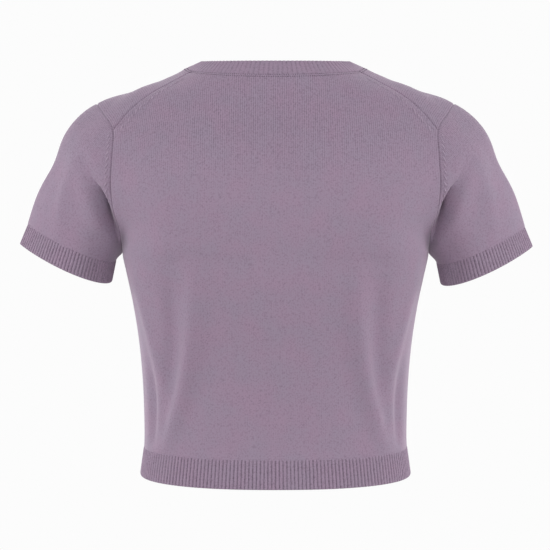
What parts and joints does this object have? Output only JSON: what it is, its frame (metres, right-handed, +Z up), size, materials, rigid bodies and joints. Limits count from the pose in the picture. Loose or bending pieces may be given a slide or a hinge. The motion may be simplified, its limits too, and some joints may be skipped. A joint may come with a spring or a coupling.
{
  "type": "crop top",
  "caption": "Short-sleeved fine-knit crop top with a crew neck and ribbed neckband, cuffs and hem, filled out as if worn, hollow and open.",
  "frame": {"origin": "middle of the neck opening, level with the top of the shoulders, where the wearer's neck holds the garment", "axes": "+Z up, -Y the garment's front, +Y its back, +X the wearer's left"},
  "size_m": [0.5106, 0.2046, 0.4128],
  "materials": {
    "lilac_jersey": "matt, softly napped fine-gauge plain knit",
    "lilac_rib": "matt, softly napped one-by-one rib"
  },
  "bodies": {
    "root": {"back_panel": "lilac_jersey", "front_panel": "lilac_jersey", "sleeve_left": "lilac_jersey", "sleeve_right": "lilac_jersey", "neckband": "lilac_rib", "cuff_left": "lilac_rib", "cuff_right": "lilac_rib", "hem_rib_back": "lilac_rib", "hem_rib_front": "lilac_rib"}
  },
  "joints": []
}
